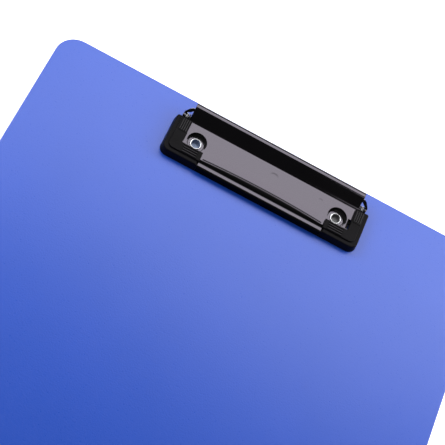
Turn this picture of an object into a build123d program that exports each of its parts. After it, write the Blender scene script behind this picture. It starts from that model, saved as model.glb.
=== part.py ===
from build123d import *
import math
import os

# Clipboard: a plastic board with a low metal spring clip riveted across its top edge.
# Row frame: origin at the centre of the board's back face, +Z out of the writing face,
# +Y towards the clip end, +X to the right seen from the front. Millimetres.

# Board
BOARD_W = 225.0
BOARD_L = 315.0
BOARD_T = 2.5
CORNER_R = 10.0
EDGE_R = 0.5

# Rivets
RIVET_X = 36.3
RIVET_Y = -21.0
RIVET_HEAD_R = 4.0
RIVET_HEAD_T = 0.7
RECESS_GAP = 0.1
SHANK_R = 2.5
SHANK_GAP = 0.05
SHANK_BORE_R = 2.1
FLARE_R = 2.8
FLARE_LIP_R = 0.35

# Base plate
SHEET = 0.8
BASE_SHEET = 0.7
BASE_REAR = -8.2
BASE_FRONT = -27.0
BASE_HALF = 43.0
BASE_EAR_IN = 44.05
BASE_TAB = 45.8
BASE_EAR_R = 1.75
TAB_FRONT = -20.0
TAB_REAR = -13.8
BOSS_R = 4.1
BOSS_H = 0.35

# Hinge
PIN_Y = -11.2
PIN_Z = 2.56
PIN_R = 1.0
PIN_FIT = 0.05
PIN_HALF = 47.75

# Springs
WIRE_R = 0.28
COIL_R = 1.55
COIL_PITCH = 0.58
COIL_TURNS = 2.25
COIL_START = 45.15
FIXED_LEG = 6.5
MOVING_LEG = 2.1

# Jaw plate
PLATE_TOP = 3.7
PLATE_HALF = 43.9
PLATE_REAR = -12.6
PLATE_FRONT = -26.6
PLATE_SPLICE = -24.0
HOLE_Y = -21.3
HOLE_R = 4.8
WALL_IN = 46.8
WALL_FRONT = -30.0
WALL_FOOT = 0.4
WING_IN = 40.0
WING_REAR = -14.4
NOTCH_LEFT = 42.0
NOTCH_RIGHT = 41.4
NOTCH_OUT = 43.6
NOTCH_FRONT = -24.6
NOTCH_REAR = -19.4
LIP_FRONT = -33.15
LIP_JOIN = -23.0
LIP_CHAMFER = 0.6
LIP_TOP = 4.55
LIP_HALF = 31.5
LIP_REST = 0.05
CREST_REAR = -30.7
CREST_FRONT = -32.35
SLOPE_FOOT = -28.6
HOLLOW_REACH = 1.1
HOLLOW_TILT = 18.0
CREASE_Y = -26.95
CREASE_HALF = 0.36
CREASE_DEPTH = 0.2
EAR_R = 2.4
FLANGE_BEND = 2.0
FLANGE_SHELF_Y = -7.9
CURL_Y = -6.3
CURL_Z = 6.35
CURL_R = 2.2

# Corner caps
CAP_OUT = 50.3
CAP_ARM_LEFT = 42.2
CAP_ARM_RIGHT = 42.9
CAP_DRAFT = 9.0
CAP_INSET = 2.6
CAP_REAR = -12.3
CAP_ARM_REAR = -13.6
CAP_NECK = 44.3
CAP_FRONT = -33.15
CAP_STEP = -25.6
CAP_END = 31.6
CAP_TOP = 5.2
CAP_RIM = 4.5
CAP_GAP = 0.02
RIB_H = 0.35
RIB_W = 0.6
FRONT_RIB_Y = -26.25
FRONT_RIB_STEP = 1.2
REAR_RIB_STEP = 1.0


def place(shape):
    """Move a clip shape from the top-edge frame into the row frame."""
    return Pos(0, BOARD_L / 2, BOARD_T) * shape


def mirrored(shape):
    return mirror(shape, about=Plane.YZ)


def block(x0, x1, y0, y1, z0, z1):
    centre = Pos((x0 + x1) / 2, (y0 + y1) / 2, (z0 + z1) / 2)
    return centre * Box(x1 - x0, y1 - y0, z1 - z0)


def drum(x0, x1, y, z, radius):
    """Cylinder lying along X."""
    middle = Pos((x0 + x1) / 2, y, z)
    return middle * Rot(0, 90, 0) * Cylinder(radius, x1 - x0)


def post(x, y, z0, z1, radius):
    return Pos(x, y, (z0 + z1) / 2) * Cylinder(radius, z1 - z0)


def make_board():
    slab = Pos(0, 0, BOARD_T / 2) * Box(BOARD_W, BOARD_L, BOARD_T)
    slab = fillet(slab.edges().filter_by(Axis.Z), CORNER_R)
    rims = slab.faces().sort_by(Axis.Z)
    slab = fillet(rims[-1].edges() + rims[0].edges(), EDGE_R)
    for side in (-1, 1):
        x = side * RIVET_X
        y = BOARD_L / 2 + RIVET_Y
        slab -= post(x, y, -1, BOARD_T + 1, SHANK_R + SHANK_GAP)
        slab -= post(x, y, -1, RIVET_HEAD_T + RECESS_GAP, RIVET_HEAD_R + RECESS_GAP)
    return slab


def make_rivet(side):
    x = side * RIVET_X
    seat = BASE_SHEET + BOSS_H
    low = -BOARD_T + RECESS_GAP
    head = post(x, RIVET_Y, low, low + RIVET_HEAD_T, RIVET_HEAD_R)
    head = fillet(head.edges().sort_by(Axis.Z)[0], 0.25)
    shank = post(x, RIVET_Y, low + 0.2, seat + 0.1, SHANK_R)
    flare = Pos(x, RIVET_Y, seat) * Torus(FLARE_R - FLARE_LIP_R, FLARE_LIP_R)
    flare -= post(x, RIVET_Y, seat - 1, seat, FLARE_R + 1)
    body = head + shank + flare
    return body - post(x, RIVET_Y, -0.9, seat + 1, SHANK_BORE_R)


def base_ear():
    x1 = BASE_EAR_IN + BASE_SHEET
    cheek = drum(BASE_EAR_IN, x1, PIN_Y, PIN_Z, BASE_EAR_R)
    low = block(BASE_EAR_IN, x1, PIN_Y - BASE_EAR_R, PIN_Y + BASE_EAR_R, 0, PIN_Z)
    return cheek + low


def make_base_plate():
    plate = block(-BASE_HALF, BASE_HALF, BASE_FRONT, BASE_REAR, 0, BASE_SHEET)
    plate = fillet(plate.edges().filter_by(Axis.Z), 2.0)
    reach = BASE_EAR_IN + BASE_SHEET
    foot = block(-reach, reach, PIN_Y - BASE_EAR_R, PIN_Y + BASE_EAR_R, 0, BASE_SHEET)
    tab = block(-BASE_TAB, BASE_TAB, TAB_FRONT, TAB_REAR, 0, BASE_SHEET)
    plate = plate + foot + tab + base_ear() + mirrored(base_ear())
    for side in (-1, 1):
        x = side * RIVET_X
        boss = post(x, RIVET_Y, BASE_SHEET - 0.2, BASE_SHEET + BOSS_H, BOSS_R)
        boss = fillet(boss.edges().sort_by(Axis.Z)[-1], 0.3)
        plate = plate + boss
        plate -= post(x, RIVET_Y, -1, 4, SHANK_R + SHANK_GAP)
    return plate - drum(-60, 60, PIN_Y, PIN_Z, PIN_R + PIN_FIT)


def make_pin():
    pin = drum(-PIN_HALF, PIN_HALF, PIN_Y, PIN_Z, PIN_R)
    ends = pin.edges().filter_by(GeomType.CIRCLE)
    return chamfer(ends, 0.25)


def sheet_run(points, thickness, x0, x1, bend):
    """Bent sheet: an open centre line in Y and Z, thickened both ways and extruded."""
    corners = [(y, z) for y, z in points]
    line = FilletPolyline(*corners, radius=bend)
    outline = offset(line, thickness / 2, side=Side.BOTH)
    face = make_face(outline.edges())
    solid = extrude(face, amount=x1 - x0)
    frame = Plane(origin=(x0, 0, 0), x_dir=(0, 1, 0), z_dir=(1, 0, 0))
    return frame * solid


def flange_line():
    """Plate centre line, up the rear handle flange, over its shelf and round the roll."""
    mid = PLATE_TOP - SHEET / 2
    roll = CURL_R - SHEET / 2
    top = CURL_Z + roll
    back = CURL_Y + roll
    tail = (back - roll * 0.6, CURL_Z - roll * 0.75)
    return [(PLATE_SPLICE, mid), (PLATE_REAR, mid), (FLANGE_SHELF_Y, top), (back, top), tail]


def lip_bar():
    """Front of the plate: slope up to a narrow flat crest, then the front wall."""
    low = PLATE_TOP - SHEET
    under = LIP_TOP - SHEET
    back = LIP_FRONT + SHEET
    top = [(LIP_JOIN, PLATE_TOP), (SLOPE_FOOT, PLATE_TOP), (CREST_REAR, LIP_TOP)]
    front = [(CREST_FRONT, LIP_TOP), (LIP_FRONT, LIP_TOP - LIP_CHAMFER), (LIP_FRONT, LIP_REST)]
    inner = [(back, LIP_REST), (back, under), (CREST_REAR - 0.2, under)]
    floor = [(SLOPE_FOOT - 0.3, low), (LIP_JOIN, low)]
    face = make_face(Polyline(*top, *front, *inner, *floor, close=True))
    plane = Plane(origin=(-LIP_HALF, 0, 0), x_dir=(0, 1, 0), z_dir=(1, 0, 0))
    return plane * extrude(face, amount=2 * LIP_HALF)


def hollow_cut():
    """Shallow dish behind the crest, deepest mid-span and fading to nothing at both ends."""
    lean = math.radians(HOLLOW_TILT)
    radius = (LIP_HALF - 0.5) ** 2 / (2 * HOLLOW_REACH * math.tan(lean))
    bowl = Rot(90 + HOLLOW_TILT, 0, 0) * Cylinder(radius, 12)
    y = SLOPE_FOOT + HOLLOW_REACH - radius * math.sin(lean)
    bowl = Pos(0, y, PLATE_TOP + radius * math.cos(lean)) * bowl
    steep = (LIP_TOP - PLATE_TOP) / (SLOPE_FOOT - CREST_REAR)
    deep = 0.7
    rear = (SLOPE_FOOT + deep, PLATE_TOP - deep * steep)
    mouth = [(SLOPE_FOOT, PLATE_TOP), rear, (-26.0, rear[1]), (-26.0, 4.0), (SLOPE_FOOT, 4.0)]
    plane = Plane(origin=(-LIP_HALF, 0, 0), x_dir=(0, 1, 0), z_dir=(1, 0, 0))
    keep = plane * extrude(make_face(Polyline(*mouth, close=True)), amount=2 * LIP_HALF)
    return keep & bowl


def crease_cut():
    """Fine V groove pressed in an arc just behind the dish."""
    radius = (LIP_HALF - 0.5) ** 2 / (2 * HOLLOW_REACH)
    sides = [(CREASE_Y - CREASE_HALF, PLATE_TOP + 0.05), (CREASE_Y + CREASE_HALF, PLATE_TOP + 0.05)]
    tip = (CREASE_Y, PLATE_TOP - CREASE_DEPTH)
    across = Plane(origin=(0, 0, 0), x_dir=(0, 1, 0), z_dir=(1, 0, 0))
    face = across * make_face(Polyline(*sides, tip, close=True))
    pivot = Axis((0, CREASE_Y - radius, 0), (0, 0, 1))
    return revolve(face.rotate(pivot, -4), pivot, 8)


def shoulder():
    """Strap in the flange's own plane, from its end down and out to the side wall."""
    low = flange_line()[1]
    top = flange_line()[2]
    rise = Vector(0, top[0] - low[0], top[1] - low[1]).normalized()
    across = Vector(1, 0, 0)
    plane = Plane(origin=(0, low[0], low[1]), x_dir=across, z_dir=across.cross(rise))
    x1 = WALL_IN + SHEET
    upper = [(43.3, 5.9), (44.6, 5.9), (45.8, 5.1), (46.9, 3.7), (x1, 2.6)]
    lower = [(x1, 1.2), (46.85, 1.2), (46.75, 2.4), (46.2, 2.9), (45.2, 3.4), (43.9, 4.5), (43.3, 4.5)]
    face = make_face(Polyline(*upper, *lower, close=True))
    strap = extrude(face, amount=SHEET / 2 - 0.02, both=True)
    return plane * strap


def side_wall():
    """Side wall from the hinge ear forward under the cap."""
    x1 = WALL_IN + SHEET
    ear = drum(WALL_IN, x1, PIN_Y, PIN_Z, EAR_R)
    neck = block(WALL_IN, x1, PIN_Y - 1.2, PIN_Y + 0.7, PIN_Z, PIN_Z + 2.4)
    forward = block(WALL_IN, x1, WALL_FRONT, PIN_Y, WALL_FOOT, PLATE_TOP)
    top_cut = block(WALL_IN - 1, x1 + 1, WALL_FRONT - 1, CAP_REAR + 0.05, PLATE_TOP, 9)
    return (ear + neck + forward) - top_cut


def wing():
    """Corner of the plate hidden inside the cap."""
    return block(WING_IN, WALL_IN + SHEET, WALL_FRONT, WING_REAR, PLATE_TOP - SHEET, PLATE_TOP)


def make_jaw_plate():
    bends = [FLANGE_BEND, 0.6, CURL_R - SHEET / 2 - 0.05]
    plate = sheet_run(flange_line(), SHEET, -PLATE_HALF, PLATE_HALF, bends)
    low = PLATE_TOP - SHEET
    plate += block(-WING_IN - 2, WING_IN + 2, PLATE_FRONT, LIP_JOIN, low, PLATE_TOP)
    plate += lip_bar()
    plate = plate - hollow_cut() - crease_cut()
    side = shoulder() + side_wall() + wing()
    plate += side + mirrored(side)
    bevel = Pos(PLATE_HALF, -13.6, low) * Rot(0, 0, 45) * Box(1.6, 1.6, 4)
    notch_right = block(NOTCH_RIGHT, NOTCH_OUT, NOTCH_FRONT, NOTCH_REAR, 0, 9)
    notch_left = block(-NOTCH_OUT, -NOTCH_LEFT, NOTCH_FRONT, NOTCH_REAR, 0, 9)
    plate = plate - bevel - mirrored(bevel) - notch_right - notch_left
    for s in (-1, 1):
        plate -= post(s * RIVET_X, HOLE_Y, 0, 9, HOLE_R)
    return plate - drum(-60, 60, PIN_Y, PIN_Z, PIN_R + PIN_FIT)


def cap_body(arm):
    """L-shaped block with leaning outer sides."""
    low = (CAP_END, CAP_FRONT)
    outer = [(CAP_OUT, CAP_FRONT), (CAP_OUT, CAP_REAR), (CAP_NECK, CAP_REAR)]
    inner = [(CAP_NECK, CAP_ARM_REAR), (arm, CAP_ARM_REAR), (arm, CAP_STEP), (CAP_END, CAP_STEP)]
    face = make_face(Polyline(low, *outer, *inner, close=True))
    face = fillet(face.vertices().sort_by_distance((CAP_OUT, CAP_FRONT, 0))[0], 4.0)
    face = fillet(face.vertices().sort_by_distance((CAP_OUT, CAP_REAR, 0))[0], 1.5)
    leaning = Pos(0, 0, LIP_REST) * extrude(face, amount=CAP_RIM - LIP_REST, taper=CAP_DRAFT)
    leaning = fillet(leaning.faces().sort_by(Axis.Z)[-1].edges(), 0.5)
    inset = CAP_OUT - CAP_INSET
    front = block(CAP_END, inset, CAP_FRONT + CAP_INSET, CAP_STEP, LIP_REST, CAP_RIM)
    rear = block(arm, inset, CAP_FRONT + CAP_INSET, CAP_ARM_REAR, LIP_REST, CAP_RIM)
    toe = block(CAP_END, CAP_END + 4, CAP_FRONT + 0.75, CAP_STEP, LIP_REST, CAP_RIM - 0.6)
    return leaning + front + rear + toe


def cap_pocket(body):
    """Pocket that takes the metal corner: wing, side wall and plate edge."""
    g = CAP_GAP
    low = PLATE_TOP - SHEET
    x1 = WALL_IN + SHEET
    wing_slot = block(30, x1 + g, WALL_FRONT - g, -10, low - g, PLATE_TOP + g)
    wall_slot = block(WALL_IN - g, x1 + g, WALL_FRONT - g, -10, LIP_REST - 1, PLATE_TOP + g)
    underside = block(30, BASE_TAB + 0.5, -27.6, -10, -1, low - g)
    lip_slot = block(CAP_END - 1, LIP_HALF + 0.1, -40, -20, -1, 9)
    coil_room = block(30, WALL_IN, -13.6, -10, -1, PLATE_TOP + g)
    coil_room += block(30, WALL_IN, -13.3, -10, 0, PLATE_TOP + 0.9)
    return body - wing_slot - wall_slot - underside - coil_room - lip_slot


def front_ribs():
    bars = []
    for i in range(4):
        y = FRONT_RIB_Y - FRONT_RIB_STEP * i
        bars.append(block(33.6, 41.0, y - RIB_W / 2, y + RIB_W / 2, CAP_TOP - 0.6, CAP_TOP + RIB_H))
    return bars


def rear_ribs(arm):
    bars = []
    for i in range(4):
        x = arm + REAR_RIB_STEP * (i + 1)
        bars.append(block(x - 0.27, x + 0.27, -20.6, -14.2, CAP_TOP - 0.6, CAP_TOP + RIB_H))
    return bars


def cap_pad(arm):
    """Raised L-shaped pad set in from the outer border."""
    x1 = CAP_OUT - CAP_INSET
    y0 = CAP_FRONT + CAP_INSET
    front = block(CAP_END, x1, y0, CAP_STEP, CAP_RIM - 0.5, CAP_TOP)
    rear = block(arm, x1, y0, CAP_ARM_REAR, CAP_RIM - 0.5, CAP_TOP)
    pad = front + rear
    upright = pad.edges().filter_by(Axis.Z)
    corner = upright.filter_by(lambda e: e.center().X > x1 - 0.1 and e.center().Y < y0 + 0.1)
    pad = fillet(corner, 2.6)
    return fillet(pad.faces().sort_by(Axis.Z)[-1].edges(), 0.3)


def make_cap(arm):
    body = cap_body(arm) + cap_pad(arm)
    for bar in front_ribs() + rear_ribs(arm):
        body += bar
    return cap_pocket(body)


def wire_leg(start, direction, length):
    leg = Plane(origin=start, z_dir=direction) * Pos(0, 0, length / 2) * Cylinder(WIRE_R, length)
    knuckle = Pos(start) * Rot(20, 30, 40) * Sphere(WIRE_R * 1.04)
    return leg + knuckle


def make_spring():
    """Right torsion spring: coil on the pin, one leg on the base, one on the jaw."""
    helix = Helix(pitch=COIL_PITCH, height=COIL_PITCH * COIL_TURNS, radius=COIL_R)
    profile = Plane(origin=helix @ 0, z_dir=helix % 0) * Circle(WIRE_R)
    coil = sweep(profile, path=helix, is_frenet=True)
    fixed = wire_leg(helix @ 0, (0, -1, 0), FIXED_LEG)
    moving = wire_leg(helix @ 1, (-1, 0, 0), MOVING_LEG)
    shape = coil + fixed + moving
    seat = Plane(origin=(COIL_START, PIN_Y, PIN_Z), x_dir=(0, 0, -1), z_dir=(1, 0, 0))
    return seat * shape


os.makedirs("parts", exist_ok=True)

board = make_board()
export_step(board, "parts/board.step")
base_plate = place(make_base_plate())
export_step(base_plate, "parts/base_plate.step")
hinge_pin = place(make_pin())
export_step(hinge_pin, "parts/hinge_pin.step")
export_step(place(make_rivet(-1)), "parts/rivet_left.step")
export_step(place(make_rivet(1)), "parts/rivet_right.step")
jaw_plate = place(make_jaw_plate())
export_step(jaw_plate, "parts/jaw_plate.step")
export_step(place(make_cap(CAP_ARM_RIGHT)), "parts/corner_cap_right.step")
export_step(place(mirrored(make_cap(CAP_ARM_LEFT))), "parts/corner_cap_left.step")
spring = make_spring()
export_step(place(spring), "parts/spring_right.step")
export_step(place(mirrored(spring)), "parts/spring_left.step")
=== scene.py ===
import math

import bpy
from mathutils import Matrix, Quaternion, Vector


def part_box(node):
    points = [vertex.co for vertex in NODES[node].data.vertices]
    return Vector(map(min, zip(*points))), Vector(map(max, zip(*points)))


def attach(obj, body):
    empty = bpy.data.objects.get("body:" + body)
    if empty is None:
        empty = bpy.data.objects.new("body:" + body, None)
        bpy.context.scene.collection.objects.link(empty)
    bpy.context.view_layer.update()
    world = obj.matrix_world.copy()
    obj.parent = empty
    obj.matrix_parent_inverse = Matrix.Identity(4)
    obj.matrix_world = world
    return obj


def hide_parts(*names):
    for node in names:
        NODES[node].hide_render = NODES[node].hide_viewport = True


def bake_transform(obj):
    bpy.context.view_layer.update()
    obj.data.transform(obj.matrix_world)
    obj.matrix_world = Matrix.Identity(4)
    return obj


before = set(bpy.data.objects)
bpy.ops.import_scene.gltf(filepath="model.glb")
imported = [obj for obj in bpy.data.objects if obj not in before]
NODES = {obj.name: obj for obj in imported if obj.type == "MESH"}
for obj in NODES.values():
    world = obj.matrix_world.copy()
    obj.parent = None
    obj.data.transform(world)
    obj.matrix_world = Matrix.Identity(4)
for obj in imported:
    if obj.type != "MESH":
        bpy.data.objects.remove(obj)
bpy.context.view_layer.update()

# Clipboard: materials for the imported parts, spring wires, rib tops in a lighter plastic that
# paint highlights along the ribs, and the studio. Metres, in the row frame: the origin is at the
# centre of the board's back, +Y points to the clip and +Z out of the writing face.
MM = 0.001
SIDES = {"left": -1, "right": 1}


def middle(node):
    """Centre of a CAD node's box."""
    low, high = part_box(node)
    return (low + high) / 2


def heading(azimuth, elevation):
    """Unit vector towards an azimuth, turning from +Y to +X, and an elevation, in degrees."""
    az, el = math.radians(azimuth), math.radians(elevation)
    return Vector((math.sin(az) * math.cos(el), math.cos(az) * math.cos(el), math.sin(el)))


def link_object(name, data):
    obj = bpy.data.objects.new(name, data)
    bpy.context.collection.objects.link(obj)
    return obj


# ---------------------------------------------------------------- shader nodes
# Noise hardly ever leaves this range, so colours and values are spread over it.
NOISE_LOW = 0.3
NOISE_HIGH = 0.7


def new_material(name):
    mat = bpy.data.materials.new(name)
    mat.use_nodes = True
    tree = mat.node_tree
    return mat, tree, tree.nodes["Principled BSDF"]


def add(tree, kind, **values):
    node = tree.nodes.new(kind)
    for key, value in values.items():
        setattr(node, key, value)
    return node


def object_coords(tree):
    """Coordinates in the row frame, where the origin of every piece lies."""
    return add(tree, "ShaderNodeTexCoord").outputs["Object"]


def noise(tree, coords, scale, detail, rough):
    node = add(tree, "ShaderNodeTexNoise")
    tree.links.new(coords, node.inputs["Vector"])
    node.inputs["Scale"].default_value = scale
    node.inputs["Detail"].default_value = detail
    node.inputs["Roughness"].default_value = rough
    return node.outputs["Fac"]


def remap(tree, source, low, high, from_low=NOISE_LOW, from_high=NOISE_HIGH):
    """Straight-line change from one range to another, held at both ends."""
    node = add(tree, "ShaderNodeMapRange")
    tree.links.new(source, node.inputs["Value"])
    node.inputs["From Min"].default_value = from_low
    node.inputs["From Max"].default_value = from_high
    node.inputs["To Min"].default_value = low
    node.inputs["To Max"].default_value = high
    return node.outputs["Result"]


def ramp(tree, source, stops):
    """Colour along a list of (place, colour) stops."""
    node = add(tree, "ShaderNodeValToRGB")
    tree.links.new(source, node.inputs["Fac"])
    elements = node.color_ramp.elements
    for i, (place, colour) in enumerate(stops):
        element = elements[i] if i < len(elements) else elements.new(place)
        element.position = place
        element.color = (*colour, 1.0)
    return node.outputs["Color"]


def tinted(level, hue):
    """A hue scaled to a level."""
    return tuple(level * share for share in hue)


def mottle(tree, source, dark, light):
    """Colour that drifts between two tones with a noise."""
    return ramp(tree, source, [(NOISE_LOW, dark), (NOISE_HIGH, light)])


def bump(tree, shader, height, distance, strength):
    node = add(tree, "ShaderNodeBump")
    node.inputs["Strength"].default_value = strength
    node.inputs["Distance"].default_value = distance
    tree.links.new(height, node.inputs["Height"])
    tree.links.new(node.outputs["Normal"], shader.inputs["Normal"])


def math_node(tree, operation, first, second=None):
    """One step of arithmetic on numbers or sockets."""
    node = add(tree, "ShaderNodeMath", operation=operation)
    for i, value in enumerate((first, second)):
        if isinstance(value, float):
            node.inputs[i].default_value = value
        elif value is not None:
            tree.links.new(value, node.inputs[i])
    return node.outputs["Value"]


def along_y(tree, coords):
    node = add(tree, "ShaderNodeSeparateXYZ")
    tree.links.new(coords, node.inputs["Vector"])
    return node.outputs["Y"]


def from_axis(tree, coords, x, y):
    """Distance from an upright line through x, y, in metres."""
    shift = add(tree, "ShaderNodeVectorMath", operation="SUBTRACT")
    tree.links.new(coords, shift.inputs[0])
    shift.inputs[1].default_value = (x, y, 0.0)
    flat = add(tree, "ShaderNodeVectorMath", operation="MULTIPLY")
    tree.links.new(shift.outputs["Vector"], flat.inputs[0])
    flat.inputs[1].default_value = (1.0, 1.0, 0.0)
    size = add(tree, "ShaderNodeVectorMath", operation="LENGTH")
    tree.links.new(flat.outputs["Vector"], size.inputs[0])
    return size.outputs["Value"]


# ---------------------------------------------------------------- materials
# Darkest and lightest tone of each mottled surface, as shares of its own level or colour.
METAL_DARK = (1.0, 1.0, 1.1)
METAL_LIGHT = (1.5, 1.5, 1.6)
PLASTIC_DARK = (0.9, 0.8, 1.0)
PLASTIC_LIGHT = (1.3, 1.15, 1.5)
GRAIN_SHADE = 0.82
DENT_SHADE = 0.6


def board_material():
    """Blue polypropylene sheet: fine matte grain, faint cloudiness."""
    dark, light = (0.015, 0.088, 0.585), (0.018, 0.093, 0.615)
    mat, tree, shader = new_material("board_plastic")
    coords = object_coords(tree)
    grain = noise(tree, coords, scale=1500.0, detail=3.0, rough=0.6)
    cloud = noise(tree, coords, scale=22.0, detail=3.0, rough=0.5)
    tree.links.new(mottle(tree, cloud, dark, light), shader.inputs["Base Color"])
    tree.links.new(remap(tree, grain, 0.27, 0.37), shader.inputs["Roughness"])
    shader.inputs["Specular IOR Level"].default_value = 0.72
    bump(tree, shader, grain, distance=0.06 * MM, strength=0.6)
    return mat


def black_metal(name, level, gloss=None):
    """Black lacquered sheet steel: fine orange peel, and a gloss that may vary by place."""
    mat, tree, shader = new_material(name)
    coords = object_coords(tree)
    peel = noise(tree, coords, scale=900.0, detail=2.0, rough=0.5)
    patch = noise(tree, coords, scale=60.0, detail=3.0, rough=0.5)
    colour = mottle(tree, patch, tinted(level, METAL_DARK), tinted(level, METAL_LIGHT))
    tree.links.new(colour, shader.inputs["Base Color"])
    tree.links.new(remap(tree, patch, 0.07, 0.12), shader.inputs["Roughness"])
    shader.inputs["Specular Tint"].default_value = (0.92, 0.84, 1.0, 1.0)
    shader.inputs["Specular IOR Level"].default_value = 1.0
    if gloss is not None:
        tree.links.new(gloss(tree, coords), shader.inputs["Specular IOR Level"])
    bump(tree, shader, peel, distance=0.01 * MM, strength=0.4)
    return mat


# Gloss across the jaw plate's front ridge, as (mm behind its front edge, gloss), over a stretch of
# RIDGE_SPAN mm. The gloss is all but taken off the steep front and back faces of the ridge, which
# paints shade there so that they render black; the rest is glossy.
RIDGE_SPAN = 8.0
RIDGE_PAINTED_SHADE = [(0.07, 0.02), (0.37, 1.0), (2.05, 1.0), (2.29, 0.05), (4.25, 0.05), (4.55, 1.0)]

# Rub marks on the jaw plate: x, y of the arc's centre, its radius, the mark's reach, all in mm,
# and the share of the gloss that it takes away.
SCUFFS = [(2.1, 138.1, 2.7, 2.5, 0.42), (26.2, 139.1, 1.4, 1.4, 0.22)]
# How far from its arc a mark is at full depth and where it ends, and the share of its reach
# before it starts to fade.
SCUFF_CORE = 0.15 * MM
SCUFF_EDGE = 0.55 * MM
SCUFF_FADE = 0.4


def scuff(tree, coords, gloss, x, y, radius, reach, depth):
    """Dull the gloss along a short curved rub mark, behind the point x, y."""
    off_arc = math_node(tree, "SUBTRACT", from_axis(tree, coords, x, y), radius)
    line = remap(tree, math_node(tree, "ABSOLUTE", off_arc), depth, 0.0, SCUFF_CORE, SCUFF_EDGE)
    from_peak = from_axis(tree, coords, x, y + radius)
    part = remap(tree, from_peak, 1.0, 0.0, SCUFF_FADE * reach, reach)
    keep = math_node(tree, "SUBTRACT", 1.0, math_node(tree, "MULTIPLY", line, part))
    return math_node(tree, "MULTIPLY", gloss, keep)


def jaw_painted_shade_and_rubs(tree, coords):
    """Gloss of the jaw plate: painted shade on the steep faces of the front ridge, and the rub
    marks.
    """
    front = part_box("jaw_plate")[0].y
    place = remap(tree, along_y(tree, coords), 0.0, 1.0, front, front + RIDGE_SPAN * MM)
    gloss = ramp(tree, place, [(at / RIDGE_SPAN, (level,) * 3) for at, level in RIDGE_PAINTED_SHADE])
    for x, y, radius, reach, depth in SCUFFS:
        gloss = scuff(tree, coords, gloss, x * MM, y * MM, radius * MM, reach * MM, depth)
    return gloss


# The rivet's bore ends and its rolled rim begins between these two radii.
RIM_START = 2.12 * MM
RIM_FULL = 2.32 * MM
# Material name and bore colour of each rivet. The left bore's bluer colour is a painted reflection
# of the blue board.
RIVETS = {
    "left": ("rivet_steel_left_board_reflection", (0.25, 0.32, 0.48)),
    "right": ("rivet_steel", (0.20, 0.20, 0.21)),
}
# Colour sockets of a Mix node, which share their names with its other sockets.
MIX_FIRST = 6
MIX_SECOND = 7
MIX_RESULT = 2


def rivet_material(side):
    """Plated steel, bright on the rolled rim and dull inside the bore."""
    name, bore = RIVETS[side]
    mat, tree, shader = new_material(name)
    coords = object_coords(tree)
    centre = middle("rivet_" + side)
    rim = remap(tree, from_axis(tree, coords, centre.x, centre.y), 0.0, 1.0, RIM_START, RIM_FULL)
    grain = noise(tree, coords, scale=1500.0, detail=4.0, rough=0.6)
    dent = noise(tree, coords, scale=900.0, detail=1.0, rough=0.5)
    mix = add(tree, "ShaderNodeMix", data_type="RGBA")
    tree.links.new(rim, mix.inputs["Factor"])
    inside = mottle(tree, dent, tinted(DENT_SHADE, bore), bore)
    tree.links.new(inside, mix.inputs[MIX_FIRST])
    outside = mottle(tree, grain, (0.60, 0.61, 0.63), (0.74, 0.75, 0.77))
    tree.links.new(outside, mix.inputs[MIX_SECOND])
    tree.links.new(mix.outputs[MIX_RESULT], shader.inputs["Base Color"])
    tree.links.new(remap(tree, rim, 0.25, 1.0, 0.0, 1.0), shader.inputs["Metallic"])
    tree.links.new(remap(tree, rim, 0.42, 0.16, 0.0, 1.0), shader.inputs["Roughness"])
    bump(tree, shader, dent, distance=0.08 * MM, strength=0.6)
    return mat


def bright_metal(name, colour, smooth, rough):
    """Drawn steel wire or rod, with a finish that drifts between smooth and rough."""
    mat, tree, shader = new_material(name)
    coords = object_coords(tree)
    grain = noise(tree, coords, scale=1500.0, detail=4.0, rough=0.6)
    shaded = mottle(tree, grain, tinted(GRAIN_SHADE, colour), colour)
    tree.links.new(shaded, shader.inputs["Base Color"])
    shader.inputs["Metallic"].default_value = 1.0
    tree.links.new(remap(tree, grain, smooth, rough), shader.inputs["Roughness"])
    bump(tree, shader, grain, distance=0.01 * MM, strength=0.4)
    return mat


def moulded_plastic(name, level, shine):
    """Matte black moulded plastic with a fine spark texture."""
    mat, tree, shader = new_material(name)
    coords = object_coords(tree)
    grain = noise(tree, coords, scale=3200.0, detail=3.0, rough=0.6)
    cloud = noise(tree, coords, scale=120.0, detail=3.0, rough=0.5)
    colour = mottle(tree, cloud, tinted(level, PLASTIC_DARK), tinted(level, PLASTIC_LIGHT))
    tree.links.new(colour, shader.inputs["Base Color"])
    tree.links.new(remap(tree, grain, 0.40, 0.54), shader.inputs["Roughness"])
    shader.inputs["Specular IOR Level"].default_value = shine
    bump(tree, shader, grain, distance=0.03 * MM, strength=0.5)
    return mat


def paint(node, mat):
    obj = NODES[node]
    if not obj.data.materials:
        obj.data.materials.append(mat)
    for slot in obj.material_slots:
        slot.material = mat


MAT_SPRING = bright_metal("spring_steel", (0.60, 0.60, 0.63), smooth=0.14, rough=0.24)
MAT_CAP = moulded_plastic("cap_plastic", level=0.0052, shine=0.07)
# The rib tops are far lighter than the cap: a painted highlight along each rib.
MAT_RIB_HIGHLIGHT = moulded_plastic("cap_rib_highlight", level=0.018, shine=0.3)

paint("board", board_material())
# The base plate's black is set far lighter than the jaw plate's: painted light that lifts the
# shade in the recesses where the base shows.
paint("base_plate", black_metal("black_steel", level=0.022))
# The jaw plate's gloss paints shade on the ridge's steep faces and carries the real rub marks.
paint("jaw_plate", black_metal("jaw_steel", level=0.002, gloss=jaw_painted_shade_and_rubs))
paint("hinge_pin", bright_metal("pin_steel", (0.16, 0.16, 0.17), smooth=0.2, rough=0.35))
for side in SIDES:
    paint("rivet_" + side, rivet_material(side))
    paint("corner_cap_" + side, MAT_CAP)


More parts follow.
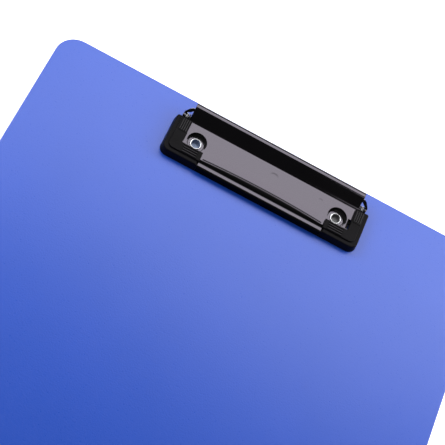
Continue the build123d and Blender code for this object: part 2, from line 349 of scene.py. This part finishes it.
# ---------------------------------------------------------------- springs
PIN = middle("hinge_pin")
COIL_R = 1.55 * MM
WIRE_R = 0.28 * MM
PITCH = 0.58 * MM
TURNS = 2.25
COIL_START = 45.15 * MM
COIL_END = COIL_START + PITCH * TURNS
FRONT_LEG = 6.4 * MM
REAR_LEG = 2.0 * MM
FRONT_LEG_STEPS = 16
COIL_STEPS = 96
REAR_LEG_STEPS = 8
WIRE_FACETS = 14
# The wire's tip: how far it stands out and its size, as shares of the wire's radius.
TIP_OUT = 0.15
TIP_SIZE = 0.72


def spring_path(sign):
    """Centre line of one torsion spring: front leg on the base, coil, rear leg up to the jaw."""
    def point(x, y, z):
        return Vector((sign * x, PIN.y + y, PIN.z + z))

    path = []
    for i in range(FRONT_LEG_STEPS):
        path.append(point(COIL_START, FRONT_LEG * (i / FRONT_LEG_STEPS - 1), -COIL_R))
    for i in range(COIL_STEPS + 1):
        turn = TURNS * i / COIL_STEPS
        angle = math.tau * turn
        x = COIL_START + PITCH * turn
        path.append(point(x, COIL_R * math.sin(angle), -COIL_R * math.cos(angle)))
    for i in range(REAR_LEG_STEPS):
        path.append(point(COIL_END, COIL_R, REAR_LEG * (i + 1) / REAR_LEG_STEPS))
    return path


def wire_rings(path, radius):
    """(centre, direction, radius) of each ring of a wire, with a narrower ring past each end."""
    first = (path[1] - path[0]).normalized()
    last = (path[-1] - path[-2]).normalized()
    rings = [(path[0] - first * radius * TIP_OUT, first, radius * TIP_SIZE)]
    for i, here in enumerate(path):
        before = path[max(i - 1, 0)]
        after = path[min(i + 1, len(path) - 1)]
        rings.append((here, (after - before).normalized(), radius))
    rings.append((path[-1] + last * radius * TIP_OUT, last, radius * TIP_SIZE))
    return rings


def wire_object(name, path, radius):
    """Closed round wire along a path."""
    rings = wire_rings(path, radius)
    facets = WIRE_FACETS
    verts, faces = [], []
    normal = rings[0][1].orthogonal().normalized()
    for centre, way, size in rings:
        normal = (normal - way * normal.dot(way)).normalized()
        across = way.cross(normal)
        for k in range(facets):
            a = math.tau * k / facets
            verts.append(centre + (normal * math.cos(a) + across * math.sin(a)) * size)
    for i in range(len(rings) - 1):
        low, high = i * facets, (i + 1) * facets
        for k in range(facets):
            n = (k + 1) % facets
            faces.append((low + k, low + n, high + n, high + k))
    end = (len(rings) - 1) * facets
    faces.append(tuple(reversed(range(facets))))
    faces.append(tuple(end + k for k in range(facets)))
    mesh = bpy.data.meshes.new(name)
    mesh.from_pydata(verts, [], faces)
    for poly in mesh.polygons:
        poly.use_smooth = len(poly.vertices) == 4
    mesh.validate()
    return link_object(name, mesh)


def spring_wire(side):
    """One spring wire, from its board end to its jaw end, in place of the CAD spring."""
    sign = SIDES[side]
    wire = wire_object("spring_wire_" + side, spring_path(sign), WIRE_R)
    wire.data.materials.append(MAT_SPRING)
    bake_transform(wire)
    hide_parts("spring_" + side)


# ---------------------------------------------------------------- rib tops: painted highlights
RIB_COUNT = 4
RIB_RISE = 0.10 * MM
RIB_ARC_STEPS = 6
# Front ribs run along X and step towards the board's front edge from the first one.
FRONT_RIB_X = (33.8 * MM, 40.8 * MM)
FRONT_RIB_Y = 131.25 * MM
FRONT_RIB_PITCH = 1.2 * MM
FRONT_RIB_HALF = 0.20 * MM
# Rear ribs run along Y and step outwards from the inner edge of the cap's arm.
REAR_RIB_Y = (137.1 * MM, 143.1 * MM)
REAR_RIB_PITCH = 1.0 * MM
REAR_RIB_HALF = 0.17 * MM
CAP_ARM = {"left": 42.2 * MM, "right": 42.9 * MM}


def rib_bar(start, end, half):
    """Corners and outward faces of one half-round bar from start to end."""
    across = Vector((0.0, 0.0, half)).cross((end - start).normalized())
    rise = Vector((0.0, 0.0, RIB_RISE))
    corners = []
    for centre in (start, end):
        for k in range(RIB_ARC_STEPS + 1):
            angle = math.pi * k / RIB_ARC_STEPS
            corners.append(centre + across * math.cos(angle) + rise * math.sin(angle))
    n = RIB_ARC_STEPS + 1
    faces = [(k, k + 1, n + k + 1, n + k) for k in range(n - 1)]
    faces.append((0, n, 2 * n - 1, n - 1))
    faces.append(tuple(reversed(range(n))))
    faces.append(tuple(range(n, 2 * n)))
    return corners, faces


def rib_highlights(side):
    """Tops of the grip ribs on one corner cap, in a lighter plastic that paints their highlights.
    """
    name = "rib_highlights_" + side
    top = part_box("corner_cap_" + side)[1].z
    verts, faces = [], []

    def add_bar(x0, x1, y0, y1, half):
        start = Vector((SIDES[side] * x0, y0, top))
        end = Vector((SIDES[side] * x1, y1, top))
        corners, shell = rib_bar(start, end, half)
        faces.extend(tuple(len(verts) + k for k in face) for face in shell)
        verts.extend(corners)

    for i in range(RIB_COUNT):
        y = FRONT_RIB_Y - FRONT_RIB_PITCH * i
        add_bar(*FRONT_RIB_X, y, y, FRONT_RIB_HALF)
        x = CAP_ARM[side] + REAR_RIB_PITCH * (i + 1)
        add_bar(x, x, *REAR_RIB_Y, REAR_RIB_HALF)
    mesh = bpy.data.meshes.new(name)
    mesh.from_pydata(verts, [], faces)
    mesh.validate()
    obj = link_object(name, mesh)
    mesh.materials.append(MAT_RIB_HIGHLIGHT)
    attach(obj, "jaw")


for side in SIDES:
    rib_highlights(side)
for side in SIDES:
    spring_wire(side)


# ---------------------------------------------------------------- stage
FLOOR_HALF = 6.0
# Just under the board, so that the two faces don't meet.
FLOOR_Z = -0.3 * MM

# The camera looks down at a point on the board's face and is turned about its own line of sight.
CAMERA_AIM = Vector((-9.8162, 107.8193, 2.5)) * MM
CAMERA_AZIMUTH = 189.7552
CAMERA_ELEVATION = 61.5573
CAMERA_ROLL = 36.4585
CAMERA_DISTANCE = 525.4225 * MM
CAMERA_LENS = 95.46
SENSOR_WIDTH = 36.0

# Softboxes round the clip: azimuth and elevation in degrees, distance, width and height in metres,
# and radiance. Only the rear one is near the board's middle line, because the long bends of the
# clip mirror every light that stands there.
CLIP = Vector((0.0, 137.0, 5.0)) * MM
SOFTBOXES = {
    "softbox_rear": (8.0, 55.0, 0.60, 0.60, 0.38, 3.1),
    "softbox_right": (66.0, 28.0, 0.40, 0.22, 0.20, 6.0),
    "softbox_left": (-78.0, 40.0, 0.40, 0.22, 0.20, 5.6),
    "softbox_front_right": (142.0, 42.0, 0.32, 0.12, 0.12, 2.2),
    "softbox_front_left": (228.0, 46.0, 0.32, 0.12, 0.12, 2.2),
}


def make_floor():
    """Pale matte floor just under the board, with a glow of its own that keeps it white."""
    s = FLOOR_HALF
    mesh = bpy.data.meshes.new("studio_floor")
    mesh.from_pydata([(-s, -s, 0), (s, -s, 0), (s, s, 0), (-s, s, 0)], [], [(0, 1, 2, 3)])
    floor = link_object("studio_floor", mesh)
    floor.location.z = FLOOR_Z
    mat, tree, shader = new_material("studio_white")
    tone = noise(tree, object_coords(tree), scale=3.0, detail=2.0, rough=0.5)
    tree.links.new(mottle(tree, tone, (0.96,) * 3, (0.98,) * 3), shader.inputs["Base Color"])
    shader.inputs["Roughness"].default_value = 0.9
    shader.inputs["Specular IOR Level"].default_value = 0.0
    shader.inputs["Emission Color"].default_value = (1.0, 1.0, 1.0, 1.0)
    shader.inputs["Emission Strength"].default_value = 0.7
    mesh.materials.append(mat)


def make_world():
    world = bpy.data.worlds.new("studio")
    world.use_nodes = True
    sky = world.node_tree.nodes["Background"]
    sky.inputs["Color"].default_value = (1.0, 1.0, 1.0, 1.0)
    sky.inputs["Strength"].default_value = 0.035
    bpy.context.scene.world = world


def make_camera():
    data = bpy.data.cameras.new("camera")
    data.sensor_width = SENSOR_WIDTH
    data.lens = CAMERA_LENS
    data.clip_start = 0.01
    data.clip_end = 50.0
    cam = link_object("camera", data)
    back = heading(CAMERA_AZIMUTH, CAMERA_ELEVATION)
    roll = Quaternion((0.0, 0.0, 1.0), math.radians(CAMERA_ROLL))
    turn = (-back).to_track_quat("-Z", "Y") @ roll
    place = CAMERA_AIM + back * CAMERA_DISTANCE
    cam.matrix_world = Matrix.Translation(place) @ turn.to_matrix().to_4x4()
    bpy.context.scene.camera = cam


def make_softbox(name, azimuth, elevation, distance, width, height, radiance):
    """Area light aimed at the clip, given by the radiance of its face."""
    data = bpy.data.lights.new(name, "AREA")
    data.shape = "RECTANGLE"
    data.size = width
    data.size_y = height
    data.energy = radiance * math.pi * width * height
    lamp = link_object(name, data)
    way = heading(azimuth, elevation)
    lamp.location = CLIP + way * distance
    lamp.rotation_euler = (-way).to_track_quat("-Z", "Y").to_euler()


make_floor()
make_world()
make_camera()
for name, setting in SOFTBOXES.items():
    make_softbox(name, *setting)
bpy.context.scene.view_settings.view_transform = "Standard"
